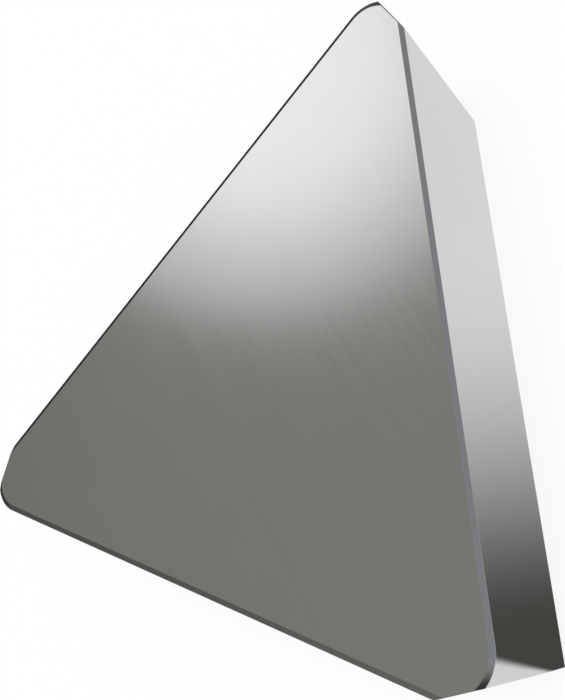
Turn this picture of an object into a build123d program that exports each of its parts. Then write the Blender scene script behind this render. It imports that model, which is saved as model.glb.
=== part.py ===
from build123d import *
import os
from math import cos, radians, sin, sqrt, tan

# Triangular milling insert, right hand, ground all over, without a hole.
# Origin: the centre of the inscribed circle, on the seating face. +Z: out of the rake face.
# +Y: towards one nose. Clockwise seen from above, each corner has the end of a main cutting edge,
# the round nose, the straight wiper edge, and the heel, where the next main cutting edge starts.

# Driving dimensions: millimetres and degrees
corners = 3
inscribed_circle = 12.7      # touches the main cutting edges
thickness = 4.76             # seating face to rake face
flank_relief = 11.0          # of the flanks and the round noses
nose_radius = 1.19           # at the height of the main cutting edges
land_width = 0.16            # of the negative land along these edges, seen from above
land_angle = 20.0            # of the land, down from the rake face
wiper_lead = 30.0            # from the wiper edge to the main cutting edge after it
wiper_depth = 0.26           # ground off the round nose by the wiper
wiper_nose_relief = 13.0     # of the wiper flank at its nose end
wiper_heel_relief = 14.5     # of the wiper flank at the heel

# Derived sizes
corner_turn = 360.0 / corners
nose_angle = 90.0                                # seen from above, from +X, as all angles below
edge_before_angle = nose_angle + corner_turn / 2
edge_after_angle = nose_angle - corner_turn / 2
wiper_angle = edge_after_angle + wiper_lead
land_drop = land_width * tan(radians(land_angle))
edge_height = thickness - land_drop              # of the main cutting edges
edge_inradius = inscribed_circle / 2
flank_slope = tan(radians(flank_relief))
flank_recess = edge_height * flank_slope         # of the flanks at the seat, behind the cutting edges
seat_inradius = edge_inradius - flank_recess
nose_centre_distance = (edge_inradius - nose_radius) / cos(radians(corner_turn / 2))
wheel_reach = thickness / 2                      # of the wiper's grinding wheel, past the blank


def direction(angle):
    """Level unit vector that points this way."""
    return Vector(cos(radians(angle)), sin(radians(angle)), 0)


def crossing(angle_a, distance_a, angle_b, distance_b):
    """Where two level lines cross, each given by where it faces and how far out it lies."""
    turn = radians(angle_b - angle_a)
    along = (distance_b - distance_a * cos(turn)) / sin(turn)
    return direction(angle_a) * distance_a + direction(angle_a + 90) * along


def ground_outline(growth):
    """Level outline this much outside the cutting edges, with stock where the wipers are ground."""
    inradius = edge_inradius + growth
    radius = nose_radius + growth
    stock_distance = nose_centre_distance * cos(radians(wiper_angle - nose_angle)) + radius
    heels, noses = [], []
    for corner in range(corners):
        turn = corner * corner_turn
        stock_side = (wiper_angle + turn, stock_distance)
        heels.append(crossing(edge_after_angle + turn, inradius, *stock_side))
        noses.append(crossing(*stock_side, edge_before_angle + turn, inradius))
    points = [(p.X, p.Y) for pair in zip(heels, noses) for p in pair]
    polygon = Polygon(*points, align=None)
    nose_vertices = [polygon.vertices().sort_by_distance(nose)[0] for nose in noses]
    return fillet(nose_vertices, radius)


def make_blank():
    """Body that narrows from the rake face to the seat, made upside down and turned over."""
    outline = ground_outline(land_drop * flank_slope)
    upside_down = extrude(outline, thickness, taper=flank_relief)
    return Pos(0, 0, thickness) * mirror(upside_down, about=Plane.XY)


def wiper_ends():
    """Nose end and heel end of one wiper flank: on the seating face, then on the cutting edge."""
    wiper_radius = nose_radius - wiper_depth
    half_chord = sqrt(nose_radius**2 - wiper_radius**2)
    nose_centre = direction(nose_angle) * nose_centre_distance
    nose_end = nose_centre + direction(wiper_angle) * wiper_radius
    nose_end += direction(wiper_angle + 90) * half_chord
    edge_distance = nose_end.dot(direction(wiper_angle))
    heel_end = crossing(wiper_angle, edge_distance, edge_after_angle, edge_inradius)

    # At the seat the wiper is past the round nose, on the main flank before it
    nose_distance = edge_distance - edge_height * tan(radians(wiper_nose_relief))
    seat_nose_end = crossing(wiper_angle, nose_distance, edge_before_angle, seat_inradius)
    heel_distance = edge_distance - edge_height * tan(radians(wiper_heel_relief))
    seat_heel_end = crossing(wiper_angle, heel_distance, edge_after_angle, seat_inradius)
    return seat_nose_end, seat_heel_end, nose_end, heel_end


def wheel_section(height):
    """Level section of the grinding wheel's path, its inner side on the ruled wiper flank."""
    seat_nose_end, seat_heel_end, nose_end, heel_end = wiper_ends()
    share = height / edge_height
    nose_side = seat_nose_end + (nose_end - seat_nose_end) * share
    heel_side = seat_heel_end + (heel_end - seat_heel_end) * share
    first = nose_side + (nose_side - heel_side)
    last = heel_side + (heel_side - nose_side)
    outward = direction(wiper_angle) * wheel_reach
    outline = [(p.X, p.Y) for p in (first, last, last + outward, first + outward)]
    return Pos(0, 0, height) * Polygon(*outline, align=None)


def make_wiper_cut():
    """What the wheel grinds away at the corner towards +Y."""
    return loft([wheel_section(-wheel_reach), wheel_section(thickness + wheel_reach)], ruled=True)


def make_land_envelope():
    """Shallow frustum that leaves the negative land along the main edges and round the noses."""
    outline = ground_outline(edge_height / tan(radians(land_angle)))
    return extrude(outline, thickness, taper=90 - land_angle)


def make_insert():
    body = make_blank()
    wiper_cut = make_wiper_cut()
    for corner in range(corners):
        body -= Rot(0, 0, corner * corner_turn) * wiper_cut
    return body & make_land_envelope()


insert = make_insert()
os.makedirs("parts", exist_ok=True)
export_step(insert, "parts/insert.step")
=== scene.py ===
import math
import bmesh
import bpy
from mathutils import Matrix, Quaternion, Vector


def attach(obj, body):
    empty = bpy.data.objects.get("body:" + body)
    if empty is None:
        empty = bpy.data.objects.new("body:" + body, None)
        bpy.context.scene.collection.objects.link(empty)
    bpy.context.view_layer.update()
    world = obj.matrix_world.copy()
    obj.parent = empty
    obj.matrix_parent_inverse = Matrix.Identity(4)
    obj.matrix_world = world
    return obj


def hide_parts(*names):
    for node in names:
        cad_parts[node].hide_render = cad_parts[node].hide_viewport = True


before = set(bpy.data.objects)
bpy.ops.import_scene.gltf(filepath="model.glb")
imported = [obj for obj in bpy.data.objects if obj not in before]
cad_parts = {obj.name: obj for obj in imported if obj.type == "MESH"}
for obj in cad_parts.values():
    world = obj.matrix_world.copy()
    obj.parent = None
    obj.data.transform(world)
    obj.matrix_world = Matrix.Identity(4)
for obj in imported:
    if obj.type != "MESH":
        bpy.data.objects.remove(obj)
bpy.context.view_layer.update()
print("frame loaded:", sorted(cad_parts))

millimetre = 0.001
white = (1, 1, 1, 1)


class Signal:  # a value in a node tree; + - * / and ** on it add Math nodes
    def __init__(self, bench, socket):
        self.bench = bench
        self.socket = socket

    def math(self, operation, first, second):
        return self.bench.signal("ShaderNodeMath", {"operation": operation}, {0: first, 1: second})

    def __add__(self, other):
        return self.math("ADD", self, other)

    def __radd__(self, other):
        return self.math("ADD", other, self)

    def __sub__(self, other):
        return self.math("SUBTRACT", self, other)

    def __rsub__(self, other):
        return self.math("SUBTRACT", other, self)

    def __mul__(self, other):
        return self.math("MULTIPLY", self, other)

    def __rmul__(self, other):
        return self.math("MULTIPLY", other, self)

    def __truediv__(self, other):
        return self.math("DIVIDE", self, other)

    def __rtruediv__(self, other):
        return self.math("DIVIDE", other, self)

    def __pow__(self, other):
        return self.math("POWER", self, other)

    def __rpow__(self, other):
        return self.math("POWER", other, self)


class Bench:  # where the nodes of one material or world are put together
    def __init__(self, owner):
        owner.use_nodes = True
        self.tree = owner.node_tree
        self.tree.nodes.clear()

    def node(self, kind, settings=None, inputs=None):
        made = self.tree.nodes.new(kind)
        for name, value in (settings or {}).items():
            setattr(made, name, value)
        for name, value in (inputs or {}).items():
            if isinstance(value, Signal):
                value = value.socket
            if isinstance(value, bpy.types.NodeSocket):
                self.tree.links.new(value, made.inputs[name])
            else:
                made.inputs[name].default_value = value
        return made

    def signal(self, kind, settings=None, inputs=None, output=0):
        return Signal(self, self.node(kind, settings, inputs).outputs[output])

    def mixColour(self, factor, first, second):
        settings = {"data_type": "RGBA", "blend_type": "MIX"}
        return self.signal("ShaderNodeMix", settings, {0: factor, 6: first, 7: second}, 2)

    def ramp(self, value, low, high):  # 0 below low, 1 above high, smooth between
        inputs = {"Value": value, "From Min": low, "From Max": high}
        return self.signal("ShaderNodeMapRange", {"interpolation_type": "SMOOTHSTEP"}, inputs)

    def noise(self, vector, scale, detail):
        inputs = {"Vector": vector, "Scale": scale, "Detail": detail, "Roughness": 0.5}
        return self.signal("ShaderNodeTexNoise", {"noise_dimensions": "3D"}, inputs)

    def inMillimetres(self):  # where a point is on its own object
        place = self.signal("ShaderNodeTexCoord", output="Object")
        scale = 1 / millimetre
        return self.signal("ShaderNodeVectorMath", {"operation": "SCALE"}, {0: place, "Scale": scale})

    def surface(self, shader):
        self.node("ShaderNodeOutputMaterial", {}, {"Surface": shader.outputs[0]})

    def glow(self, colour):
        return self.node("ShaderNodeEmission", {}, {"Color": colour, "Strength": 1.0})


insertShape = {
    "corners": 3,
    "inscribedCircle": 12.7,      # touches the main cutting edges
    "thickness": 4.76,
    "flankRelief": 11.0,          # degrees, as every angle here
    "noseRadius": 1.19,
    "landWidth": 0.16,
    "landAngle": 20.0,
    "wiperLead": 30.0,
    "wiperDepth": 0.26,
    "wiperNoseRelief": 13.0,
    "wiperHeelRelief": 14.5,
    "noseFacets": 26,             # across each round nose
    "wiperLandWidth": 0.032,
    "wiperLandAngle": 25.0,
    "edgeHone": 0.005,            # rounding of the edges that turn by more than sharpTurn
    "honeSteps": 3,
    "sharpTurn": 28.0,
    "smoothTurn": 12.0,           # edges that turn by less are shaded smooth
    "mergeGap": 0.00001,
}


def facing(angle):
    return Vector((math.cos(math.radians(angle)), math.sin(math.radians(angle)), 0))


def crossing(angleA, distanceA, angleB, distanceB):  # where two level lines meet
    turn = math.radians(angleB - angleA)
    along = (distanceB - distanceA * math.cos(turn)) / math.sin(turn)
    return facing(angleA) * distanceA + facing(angleA + 90) * along


def cornerPoints(shape):  # rows of points round the corner that points to +Y, heel to nose
    turn = 360 / shape["corners"]
    angleBefore = 90 + turn / 2
    angleAfter = 90 - turn / 2
    wiperAngle = angleAfter + shape["wiperLead"]
    thickness = shape["thickness"]
    landSlope = math.tan(math.radians(shape["landAngle"]))
    flankSlope = math.tan(math.radians(shape["flankRelief"]))
    edgeHeight = thickness - shape["landWidth"] * landSlope
    inradius = shape["inscribedCircle"] / 2
    noseRadius = shape["noseRadius"]
    seatInradius = inradius - edgeHeight * flankSlope
    noseCentre = facing(90) * (inradius - noseRadius) / math.cos(math.radians(turn / 2))
    halvings = 50

    # the ruled wiper flank hangs on these four points
    wiperRadius = noseRadius - shape["wiperDepth"]
    halfChord = math.sqrt(noseRadius**2 - wiperRadius**2)
    noseEnd = noseCentre + facing(wiperAngle) * wiperRadius + facing(wiperAngle + 90) * halfChord
    edgeDistance = noseEnd.dot(facing(wiperAngle))
    heelEnd = crossing(wiperAngle, edgeDistance, angleAfter, inradius)
    noseFall = edgeHeight * math.tan(math.radians(shape["wiperNoseRelief"]))
    heelFall = edgeHeight * math.tan(math.radians(shape["wiperHeelRelief"]))
    seatNoseEnd = crossing(wiperAngle, edgeDistance - noseFall, angleBefore, seatInradius)
    seatHeelEnd = crossing(wiperAngle, edgeDistance - heelFall, angleAfter, seatInradius)

    def radiusAt(height):
        if height > edgeHeight:
            return noseRadius - (height - edgeHeight) / landSlope
        return noseRadius - (edgeHeight - height) * flankSlope

    def wiperAt(height):  # heel point, facing angle and distance of the wiper's level line
        share = height / edgeHeight
        nose = seatNoseEnd.lerp(noseEnd, share)
        heel = seatHeelEnd.lerp(heelEnd, share)
        angle = math.degrees(math.atan2(nose.y - heel.y, nose.x - heel.x)) - 90
        return heel, angle, nose.dot(facing(angle))

    def noseAngleAt(height, inset=0):  # where that line, or one inside it, leaves the round nose
        heel, angle, distance = wiperAt(height)
        reach = (distance - inset - noseCentre.dot(facing(angle))) / radiusAt(height)
        return angle + math.degrees(math.acos(max(-1.0, min(1.0, reach))))

    def landCrossing(height, inset):  # where it meets the land of the main edge after it
        heel, angle, distance = wiperAt(height)
        landDistance = inradius - (height - edgeHeight) / landSlope
        point = crossing(angle, distance - inset, angleAfter, landDistance)
        point.z = height
        return point

    def heightAt(noseAngle):  # where the wiper reaches this far round the nose, found by halving
        low, high = 0.0, edgeHeight
        for halving in range(halvings):
            middle = (low + high) / 2
            if noseAngleAt(middle) > noseAngle:
                low = middle
            else:
                high = middle
        return (low + high) / 2

    def onNose(angle, height):
        point = noseCentre + facing(angle) * radiusAt(height)
        point.z = height
        return point

    rows = {"rake": [], "edge": [], "wiperNose": [], "wiperHeel": []}
    facets = shape["noseFacets"]
    edgeStart = noseAngleAt(edgeHeight)
    wiperLand = shape["wiperLandWidth"]
    rimHeight = thickness - wiperLand * math.tan(math.radians(shape["wiperLandAngle"]))
    rakeStart = noseAngleAt(thickness, wiperLand)
    for step in range(facets + 1):
        share = step / facets
        angle = edgeStart + (angleBefore - edgeStart) * share
        height = heightAt(angle)
        heel = wiperAt(height)[0]
        heel.z = height
        rows["rake"].append(onNose(rakeStart + (angleBefore - rakeStart) * share, thickness))
        rows["edge"].append(onNose(angle, edgeHeight))
        rows["wiperNose"].append(onNose(angle, height))
        rows["wiperHeel"].append(heel)
    rows["seat"] = [seatHeelEnd, seatNoseEnd]
    rows["rakeHeel"] = landCrossing(thickness, wiperLand)
    rows["rimHeel"] = landCrossing(rimHeight, 0)
    rows["rimNose"] = onNose(noseAngleAt(rimHeight), rimHeight)
    return rows


def buildInsert(shape):
    turn = 360 / shape["corners"]
    rows = cornerPoints(shape)
    facets = shape["noseFacets"]
    build = bmesh.new()
    corners = []
    for number in range(shape["corners"]):
        spin = Matrix.Rotation(math.radians(number * turn), 3, "Z")
        made = {name: build.verts.new(spin @ rows[name]) for name in ("rakeHeel", "rimHeel", "rimNose")}
        for name in ("rake", "edge", "wiperNose", "wiperHeel", "seat"):
            made[name] = [build.verts.new(spin @ point) for point in rows[name]]
        corners.append(made)

    def face(points, material):
        patch = build.faces.new(points)
        patch.material_index = material
        patch.smooth = True

    rake, land, flank = 0, 1, 2
    for number, here in enumerate(corners):
        there = corners[(number + 1) % len(corners)]
        for step in range(facets):
            after = step + 1
            rim = (here["rimNose"],) if step == 0 else ()
            face((here["rake"][step], here["rake"][after],
                  here["edge"][after], here["edge"][step], *rim), land)
            face((here["edge"][step], here["edge"][after],
                  here["wiperNose"][after], here["wiperNose"][step]), flank)
            face((here["wiperHeel"][step], here["wiperHeel"][after],
                  here["wiperNose"][after], here["wiperNose"][step]), flank)
        face((here["wiperHeel"][-1], here["wiperNose"][-1], here["seat"][1], here["seat"][0]), flank)
        face((here["rimHeel"], here["rimNose"], here["edge"][0], here["wiperHeel"][0]), flank)
        face((here["rakeHeel"], here["rake"][0], here["rimNose"], here["rimHeel"]), land)
        heel = (there["rakeHeel"], there["rimHeel"], there["wiperHeel"][0])
        face((here["edge"][-1], here["rake"][-1], *heel), land)
        heelLine = (there["seat"][0], *reversed(there["wiperHeel"]))
        face((here["edge"][-1], here["wiperNose"][-1], here["seat"][1], *heelLine), flank)
    face([vert for here in corners for vert in (here["rakeHeel"], *here["rake"])], rake)
    face([vert for here in corners for vert in here["seat"]], rake)
    bmesh.ops.remove_doubles(build, verts=build.verts, dist=shape["mergeGap"])
    bmesh.ops.recalc_face_normals(build, faces=build.faces)
    hone = build.edges.layers.float.new("bevel_weight_edge")
    for edge in build.edges:
        edgeTurn = math.degrees(edge.calc_face_angle(0))
        sharp = edgeTurn > shape["sharpTurn"]
        edge[hone] = 1.0 if sharp else 0.0
        edge.smooth = sharp or edgeTurn < shape["smoothTurn"]
    mesh = bpy.data.meshes.new("carbideInsert")
    build.to_mesh(mesh)
    build.free()
    return mesh


def finishMesh(mesh, shape):  # rounds the edges, then brings the mesh to metres
    draft = bpy.data.objects.new("insertDraft", mesh)
    bpy.context.scene.collection.objects.link(draft)
    bevel = draft.modifiers.new("hone", "BEVEL")
    bevel.limit_method = "WEIGHT"
    bevel.width = shape["edgeHone"]
    bevel.segments = shape["honeSteps"]
    bevel.use_clamp_overlap = False
    weighted = draft.modifiers.new("flatFaces", "WEIGHTED_NORMAL")
    weighted.weight = 100
    weighted.keep_sharp = True
    bpy.context.view_layer.update()
    seen = draft.evaluated_get(bpy.context.evaluated_depsgraph_get())
    done = bpy.data.meshes.new_from_object(seen)
    bpy.data.objects.remove(draft)
    done.transform(Matrix.Scale(millimetre, 4))
    return done


insertMesh = finishMesh(buildInsert(insertShape), insertShape)
insert = bpy.data.objects.new("carbideInsert", insertMesh)
bpy.context.scene.collection.objects.link(insert)
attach(insert, "root")
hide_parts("insert")
print("insert built:", len(insertMesh.polygons), "faces")


# stretch is how often the grinding lines change along X, Y and Z, to the millimetre
carbideLooks = {
    "groundRakeCarbide": {"lineTurn": 35.0, "stretch": (0.12, 9.0, 9.0), "roughness": 0.13},
    "honedLandCarbide": {"lineTurn": 0.0, "stretch": (0.5, 0.5, 30.0), "roughness": 0.14},
    "groundFlankCarbide": {"lineTurn": 0.0, "stretch": (0.12, 0.12, 9.0), "roughness": 0.16},
}
carbideGrain = {
    "dark": (0.548, 0.548, 0.546, 1),
    "light": (0.614, 0.614, 0.613, 1),
    "lineDetail": 3.0,
    "mottlePitch": 0.9,           # clouds in the tone, to the millimetre
    "mottleDetail": 3.0,
    "grainPitch": 22.0,
    "grainDetail": 2.0,
    "lineTone": 0.4,              # shares of the grinding lines, the clouds and the grain
    "mottleTone": 0.3,
    "grainTone": 0.3,
    "lineGloss": 0.05,
    "grainGloss": 0.04,
    "lineHeight": 0.7,
    "grainHeight": 0.3,
    "bumpStrength": 0.15,
    "bumpDepth": 0.0000006,       # metres
}


def groundCarbide(name, look, grain):
    material = bpy.data.materials.new(name)
    bench = Bench(material)
    place = bench.inMillimetres()
    turned = bench.signal("ShaderNodeVectorRotate", {"rotation_type": "Z_AXIS"},
                          {"Vector": place, "Angle": math.radians(look["lineTurn"])})
    stretched = bench.signal("ShaderNodeVectorMath", {"operation": "MULTIPLY"},
                             {0: turned, 1: look["stretch"]})
    lines = bench.noise(stretched, 1.0, grain["lineDetail"])
    mottle = bench.noise(place, grain["mottlePitch"], grain["mottleDetail"])
    specks = bench.noise(place, grain["grainPitch"], grain["grainDetail"])
    tone = lines * grain["lineTone"] + mottle * grain["mottleTone"] + specks * grain["grainTone"]
    colour = bench.mixColour(tone, grain["dark"], grain["light"])
    roughness = look["roughness"] + (lines - 0.5) * grain["lineGloss"]
    roughness = roughness + (specks - 0.5) * grain["grainGloss"]
    height = lines * grain["lineHeight"] + specks * grain["grainHeight"]
    bump = bench.signal("ShaderNodeBump", {}, {
        "Height": height, "Strength": grain["bumpStrength"], "Distance": grain["bumpDepth"]})
    bench.surface(bench.node("ShaderNodeBsdfPrincipled", {}, {
        "Base Color": colour, "Metallic": 1.0, "Roughness": roughness, "Normal": bump}))
    return material


for name, look in carbideLooks.items():
    insertMesh.materials.append(groundCarbide(name, look, carbideGrain))
print("materials made")


stageLook = {
    "floorRadius": 0.6,           # metres, as every length here
    "floorSides": 96,
    "floorDrop": 0.00001,         # of the floor below the seat
    "floorColour": (0.97, 0.97, 0.97, 1),
    "floorGlow": 0.97,            # share of plain white in the floor's colour
    "shadowDepth": 0.22,          # taken off that share where the insert closes off the sky
    "shadowReach": 0.003,
    "shadowRays": 16,
    "tentRadius": 0.8,
    "tentSides": 64,
    "tentRings": 32,
    "room": (0.3045, 0.2985, 0.2800),
}
softboxAim = (-0.722, 0.224, 0.654)
# soft patches of the tent, later ones over earlier ones; inner and outer are degrees off the aim
tentPatches = {
    "darkDoorway": {"aim": (-0.98, 0.10, -0.15), "inner": 18, "outer": 52, "colour": (0.033, 0.033, 0.032)},
    "darkCorner": {"aim": (-0.80, -0.60, 0.00), "inner": 6, "outer": 56, "colour": (0.030, 0.029, 0.027)},
    "darkDoor": {"aim": (-0.45, 0.85, 0.15), "inner": 20, "outer": 36, "colour": (0.080, 0.079, 0.076)},
    "coolCeiling": {"aim": (-0.05, 0.22, 0.974), "inner": 14, "outer": 30, "colour": (0.318, 0.332, 0.355)},
    "darkHatch": {"aim": (0.03, -0.48, 0.877), "inner": 8, "outer": 28, "colour": (0.05, 0.05, 0.05)},
    "coolWindow": {"aim": (0.20, 0.90, 0.36), "inner": 10, "outer": 24, "colour": (1.00, 1.05, 1.12)},
    "ceilingPanel": {"aim": (-0.26, -0.02, 0.965), "inner": 3, "outer": 17, "colour": (0.85, 0.85, 0.86)},
    "skylight": {"aim": (0.50, 0.10, 0.86), "inner": 4, "outer": 25, "colour": (1.00, 1.00, 1.00)},
    "farWindow": {"aim": (0.70, 0.50, 0.45), "inner": 6, "outer": 24, "colour": (0.95, 0.95, 0.95)},
    "sideWindow": {"aim": (0.80, -0.25, 0.50), "inner": 12, "outer": 34, "colour": (1.10, 1.10, 1.10)},
    "frontWindow": {"aim": (0.10, -0.93, 0.22), "inner": 6, "outer": 22, "colour": (0.90, 0.90, 0.90)},
    "softboxRim": {"aim": softboxAim, "inner": 8.8, "outer": 10.6, "colour": (0.855, 0.853, 0.848)},
    "mainSoftbox": {"aim": softboxAim, "inner": 4.4, "outer": 8.9, "colour": (1.44, 1.44, 1.45)},
}
# glowing sheet beside each flank, seen only in reflections: a painted reflection of shade on the floor,
# white graded to dark; in millimetres: along the seat edge, and out from it
shadeReflectionSheet = {
    "flankAngles": (30, 150, 270),
    "seatInradius": 5.436,
    "tuckedUnder": 0.02,          # in under the seat edge
    "lightAlong": 4.5,            # white here, and darker all the way to darkAlong
    "darkAlong": -7.7,
    "bend": 1.4,                  # above 1 the middle of that way is lighter
    "endAlong": -8.90,            # where the dark stops at the seat edge
    "endSlant": 0.295,
    "endSoftness": 0.05,
    "endSoftening": 0.30,         # more softness for each millimetre out
    "fullOut": 2.0,
    "fadeOut": 9.0,
    "colour": (0.083, 0.080, 0.074, 1),
}
# dark ground far off towards -X, in millimetres, seen by the faces that look almost level that way
farGround = {
    "near": 9.0,
    "full": 26.0,
    "far": 520.0,
    "halfWidth": 300.0,
    "colour": (0.02, 0.02, 0.02, 1),
}


def addStage(name, mesh, material):
    piece = bpy.data.objects.new(name, mesh)
    bpy.context.scene.collection.objects.link(piece)
    mesh.materials.append(material)
    return piece


def onlyReflected(piece):
    for ray in ("camera", "diffuse", "transmission", "volume_scatter", "shadow"):
        setattr(piece, "visible_" + ray, False)


def makeFloor(look):
    build = bmesh.new()
    bmesh.ops.create_circle(build, cap_ends=True, segments=look["floorSides"], radius=look["floorRadius"])
    bmesh.ops.translate(build, verts=build.verts, vec=(0, 0, -look["floorDrop"]))
    mesh = bpy.data.meshes.new("floor")
    build.to_mesh(mesh)
    build.free()
    material = bpy.data.materials.new("paleFloor")
    bench = Bench(material)
    path = bench.node("ShaderNodeLightPath")
    camera = Signal(bench, path.outputs["Is Camera Ray"])
    glossy = Signal(bench, path.outputs["Is Glossy Ray"])
    through = Signal(bench, path.outputs["Is Transmission Ray"])
    openSky = bench.signal("ShaderNodeAmbientOcclusion", {"samples": look["shadowRays"]},
                           {"Distance": look["shadowReach"]}, 1)
    shadow = camera * (1 - openSky) * look["shadowDepth"]
    seen = bench.signal("ShaderNodeClamp", {}, {0: camera + glossy + through})
    plain = bench.node("ShaderNodeBsdfDiffuse", {}, {"Color": look["floorColour"]})
    glow = bench.glow(white)
    bench.surface(bench.node("ShaderNodeMixShader", {}, {
        0: seen * look["floorGlow"] - shadow, 1: plain.outputs[0], 2: glow.outputs[0]}))
    addStage("floor", mesh, material)


def makeTent(look, patches):
    build = bmesh.new()
    bmesh.ops.create_uvsphere(build, u_segments=look["tentSides"], v_segments=look["tentRings"],
                              radius=look["tentRadius"])
    mesh = bpy.data.meshes.new("lightTent")
    build.to_mesh(mesh)
    build.free()
    material = bpy.data.materials.new("tentCloth")
    bench = Bench(material)
    place = bench.signal("ShaderNodeTexCoord", output="Object")
    way = bench.signal("ShaderNodeVectorMath", {"operation": "NORMALIZE"}, {0: place})
    colour = (*look["room"], 1)
    for patch in patches.values():
        aim = Vector(patch["aim"]).normalized()
        cosine = bench.signal("ShaderNodeVectorMath", {"operation": "DOT_PRODUCT"}, {0: way, 1: aim}, 1)
        away = bench.signal("ShaderNodeMath", {"operation": "ARCCOSINE"}, {0: cosine})
        outside = bench.ramp(away * math.degrees(1), patch["inner"], patch["outer"])
        colour = bench.mixColour(outside, (*patch["colour"], 1), colour)
    bench.surface(bench.glow(colour))
    onlyReflected(addStage("lightTent", mesh, material))


# the sheet's glow: plain white, graded into painted shade along each flank and faded out away from it
def shadeReflectionMaterial(shadeSheet):
    material = bpy.data.materials.new("shadeReflectionSheet")
    bench = Bench(material)
    parts = bench.node("ShaderNodeSeparateXYZ", {}, {0: bench.inMillimetres()})
    out = Signal(bench, parts.outputs[0]) - shadeSheet["seatInradius"]
    along = Signal(bench, parts.outputs[1])
    span = shadeSheet["lightAlong"] - shadeSheet["darkAlong"]
    share = bench.signal("ShaderNodeClamp", {}, {0: (shadeSheet["lightAlong"] - along) / span})
    dark = bench.ramp(share ** shadeSheet["bend"], 0, 1)
    pastEnd = shadeSheet["endAlong"] - along - out * shadeSheet["endSlant"]
    ended = bench.ramp(pastEnd / (out * shadeSheet["endSoftening"] + shadeSheet["endSoftness"]), -1, 1)
    gone = bench.ramp(out, shadeSheet["fullOut"], shadeSheet["fadeOut"])
    # painted shade in the flanks' reflection: white at lightAlong, darker towards darkAlong, stopped at
    # endAlong, faded out from the seat edge
    colour = bench.mixColour(dark * (1 - ended) * (1 - gone), white, shadeSheet["colour"])
    bench.surface(bench.glow(colour))
    return material


# lays one painted-shade sheet beside each flank, seen only in reflections
def makeShadeReflections(look, shadeSheet):
    material = shadeReflectionMaterial(shadeSheet)
    near = shadeSheet["seatInradius"] - shadeSheet["tuckedUnder"]
    far = shadeSheet["seatInradius"] + shadeSheet["fadeOut"]
    nearEnd = shadeSheet["endAlong"] - shadeSheet["endSoftness"]
    farEnd = nearEnd - (shadeSheet["endSlant"] + shadeSheet["endSoftening"]) * shadeSheet["fadeOut"]
    rim = ((near, shadeSheet["lightAlong"]), (near, nearEnd), (far, farEnd), (far, shadeSheet["lightAlong"]))
    for number, angle in enumerate(shadeSheet["flankAngles"]):
        mesh = bpy.data.meshes.new("shadeReflectionSheet")
        points = [Vector((out, along, 0)) * millimetre for out, along in rim]
        mesh.from_pydata(points, [], [(0, 1, 2, 3)])
        piece = addStage(f"shadeReflectionSheet{number}", mesh, material)
        piece.location.z = -look["floorDrop"] / 2
        piece.rotation_euler.z = math.radians(angle)
        onlyReflected(piece)


def makeFarGround(look, ground):
    material = bpy.data.materials.new("farGround")
    bench = Bench(material)
    parts = bench.node("ShaderNodeSeparateXYZ", {}, {0: bench.inMillimetres()})
    away = Signal(bench, parts.outputs[0]) * -1
    dark = bench.ramp(away, ground["near"], ground["full"])
    bench.surface(bench.glow(bench.mixColour(dark, white, ground["colour"])))
    mesh = bpy.data.meshes.new("farGround")
    near, far, side = -ground["near"], -ground["far"], ground["halfWidth"]
    rim = ((near, -side), (near, side), (far, side), (far, -side))
    points = [Vector((x, y, 0)) * millimetre for x, y in rim]
    mesh.from_pydata(points, [], [(0, 1, 2, 3)])
    piece = addStage("farGround", mesh, material)
    piece.location.z = -look["floorDrop"] / 4
    onlyReflected(piece)


makeFloor(stageLook)
makeTent(stageLook, tentPatches)
makeShadeReflections(stageLook, shadeReflectionSheet)
makeFarGround(stageLook, farGround)

world = bpy.data.worlds.new("studio")
bpy.context.scene.world = world
worldBench = Bench(world)
background = worldBench.node("ShaderNodeBackground", {}, {"Color": white, "Strength": 1.0})
worldBench.node("ShaderNodeOutputWorld", {}, {"Surface": background.outputs[0]})
print("stage set")


cameraLook = {
    "place": (31.5692, -1.2255, 37.3412),   # millimetres
    "aim": (-2.3125, 3.1040, 4.76),
    "roll": -67.2031,
    "lens": 81.6737,
    "shift": (0.06071, -0.12571),
    "sensor": 36,
    "clipStart": 0.001,                     # metres
    "clipEnd": 5,
}


def makeCamera(look):
    camera = bpy.data.objects.new("camera", bpy.data.cameras.new("camera"))
    bpy.context.scene.collection.objects.link(camera)
    place = Vector(look["place"]) * millimetre
    aim = Vector(look["aim"]) * millimetre
    level = (aim - place).to_track_quat("-Z", "Y")
    camera.location = place
    camera.rotation_mode = "QUATERNION"
    camera.rotation_quaternion = level @ Quaternion((0, 0, 1), math.radians(look["roll"]))
    camera.data.lens = look["lens"]
    camera.data.sensor_width = look["sensor"]
    camera.data.shift_x, camera.data.shift_y = look["shift"]
    camera.data.clip_start = look["clipStart"]
    camera.data.clip_end = look["clipEnd"]
    bpy.context.scene.camera = camera


makeCamera(cameraLook)
bpy.context.scene.view_settings.view_transform = "Standard"

print("camera and sizes done")
